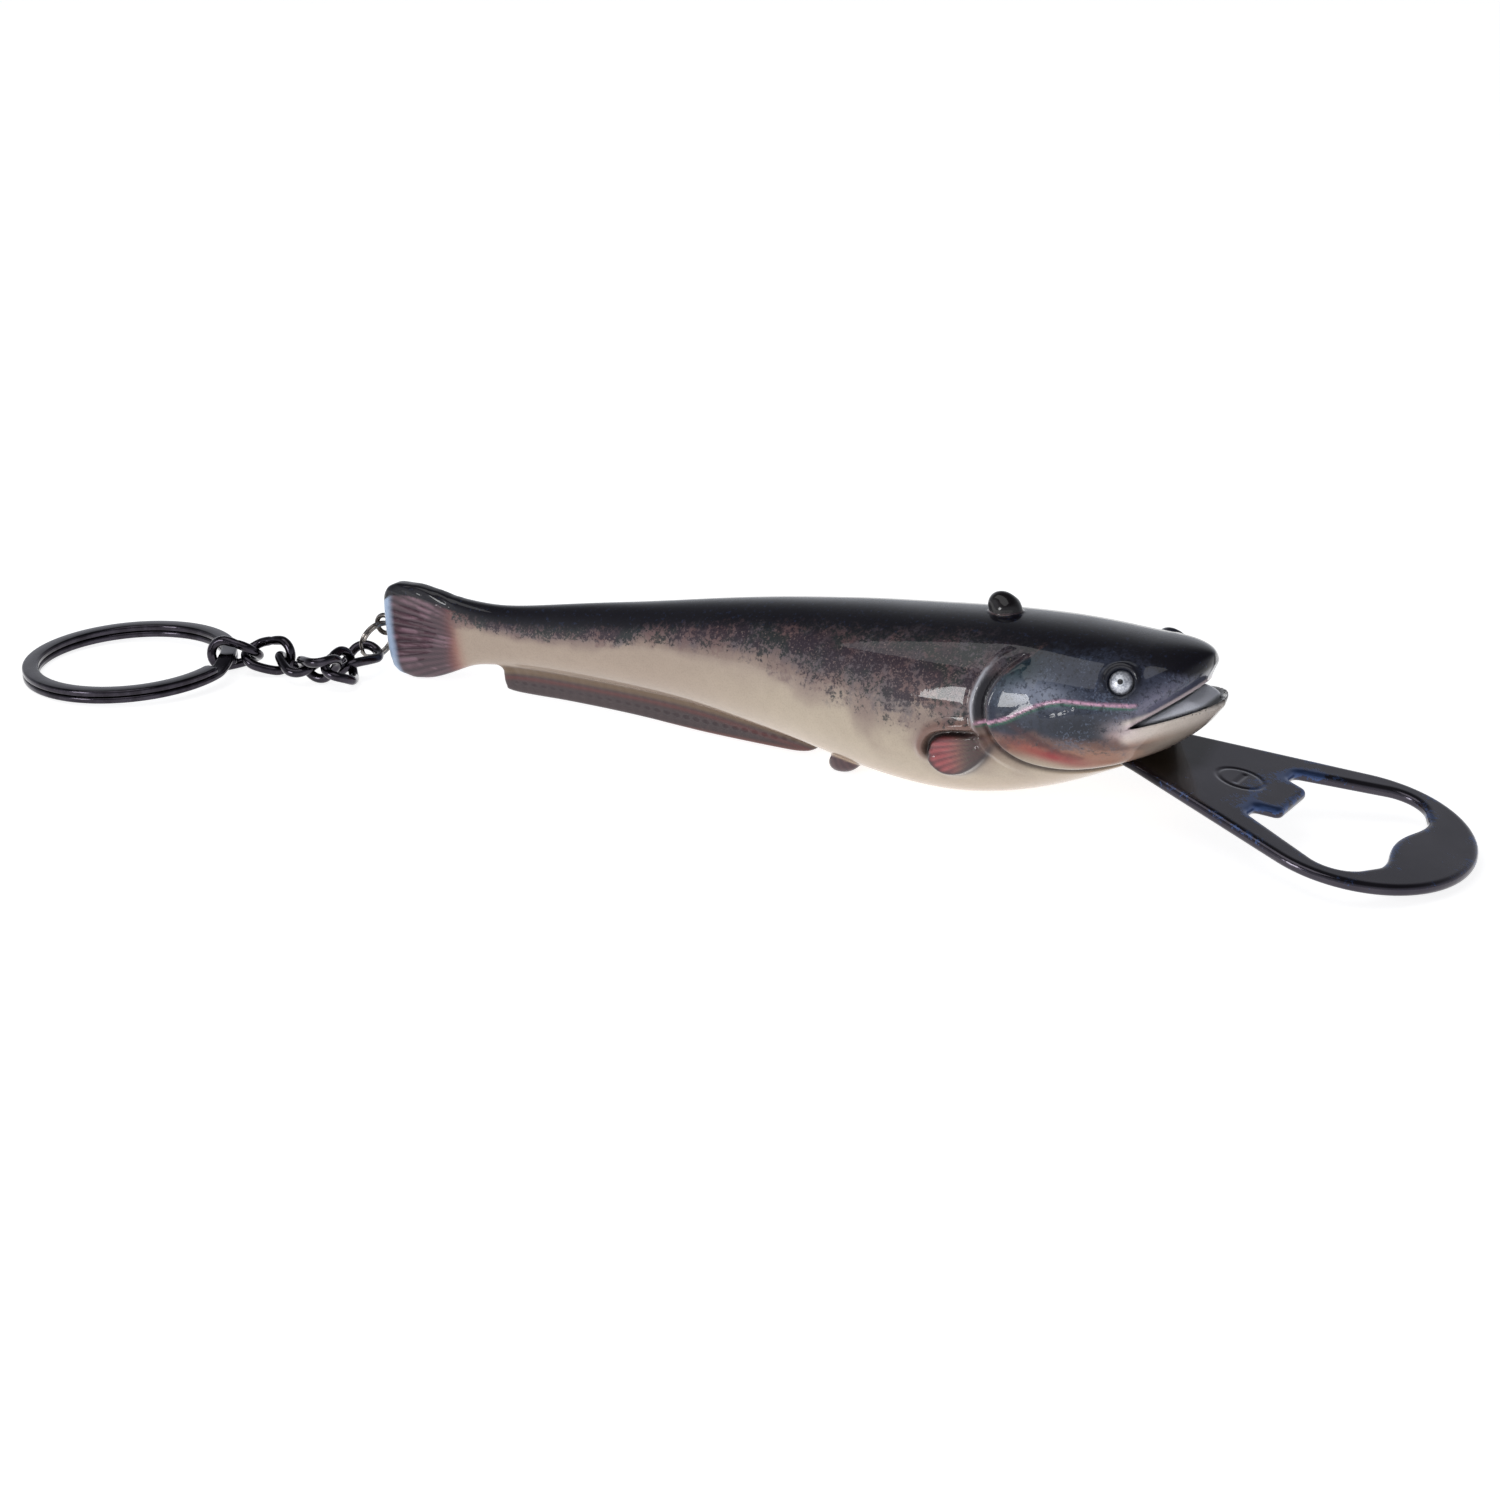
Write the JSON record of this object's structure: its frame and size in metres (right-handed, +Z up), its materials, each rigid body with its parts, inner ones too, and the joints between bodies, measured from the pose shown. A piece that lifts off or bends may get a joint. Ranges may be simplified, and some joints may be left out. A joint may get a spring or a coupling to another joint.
{
  "type": "bottle opener key chain",
  "caption": "Souvenir bottle opener shaped like a catfish, with a flat steel opener plate at its chin and a key ring on a short curb chain at its tail.",
  "frame": {"origin": "middle of the bounding box's lower face, on the table", "axes": "+X the way the fish looks, along its length; +Y to the fish's left; +Z up from the table"},
  "size_m": [0.2049, 0.05, 0.0273],
  "materials": {
    "painted_resin": "hand-painted cast resin under a glossy clear coat",
    "black_nickel_plate": "polished black nickel plating with fine edge wear",
    "black_nickel_ring": "bright black nickel plating",
    "gunmetal_ring": "bright gunmetal plating"
  },
  "bodies": {
    "root": {"fish_body": "painted_resin", "opener_plate": "black_nickel_plate", "screw_eye": "gunmetal_ring"},
    "tail_split_ring": {"tail_split_ring": "gunmetal_ring"},
    "chain_link_6": {"chain_link_6": "black_nickel_ring"},
    "chain_link_5": {"chain_link_5": "black_nickel_ring"},
    "chain_link_4": {"chain_link_4": "black_nickel_ring"},
    "chain_link_3": {"chain_link_3": "black_nickel_ring"},
    "chain_link_2": {"chain_link_2": "black_nickel_ring"},
    "chain_link_1": {"chain_link_1": "black_nickel_ring"},
    "key_ring": {"key_ring": "black_nickel_ring"}
  },
  "joints": [
    {"name": "tail_split_ring_swing", "type": "hinge", "parent": "root", "child": "tail_split_ring", "pos_m": [-0.05823, 0.00865, 0.0072], "axis": [-0.309, 0, -0.9511], "range_deg": [-15, 20]},
    {"name": "chain_link_6_swing", "type": "hinge", "parent": "tail_split_ring", "child": "chain_link_6", "pos_m": [-0.05918, 0.00795, 0.00178], "axis": [0.2219, 0.9358, -0.2739], "range_deg": [-40, 45]},
    {"name": "chain_link_5_swing", "type": "hinge", "parent": "chain_link_6", "child": "chain_link_5", "pos_m": [-0.05868, 0.00196, 0.00241], "axis": [-0.7757, -0.3979, -0.4898], "range_deg": [-50, 50]},
    {"name": "chain_link_4_swing", "type": "hinge", "parent": "chain_link_5", "child": "chain_link_4", "pos_m": [-0.05989, -0.00105, 0.00395], "axis": [0.05, -0.9548, -0.2929], "range_deg": [-25, 35]},
    {"name": "chain_link_3_swing", "type": "hinge", "parent": "chain_link_4", "child": "chain_link_3", "pos_m": [-0.06365, -0.0009, 0.00175], "axis": [-0.498, -0.282, 0.82], "range_deg": [-45, 18]},
    {"name": "chain_link_2_swing", "type": "hinge", "parent": "chain_link_3", "child": "chain_link_2", "pos_m": [-0.06862, -0.00009, 0.0028], "axis": [-0.173, 0.8688, -0.4639], "range_deg": [-50, 50]},
    {"name": "chain_link_1_swing", "type": "hinge", "parent": "chain_link_2", "child": "chain_link_1", "pos_m": [-0.07352, -0.00019, 0.00317], "axis": [0.3739, 0.8569, 0.3549], "range_deg": [-50, 10]},
    {"name": "key_ring_swing", "type": "hinge", "parent": "chain_link_1", "child": "key_ring", "pos_m": [-0.07596, -0.00216, 0.00073], "axis": [-0.5831, -0.8111, -0.047], "range_deg": [-30, 15]}
  ]
}
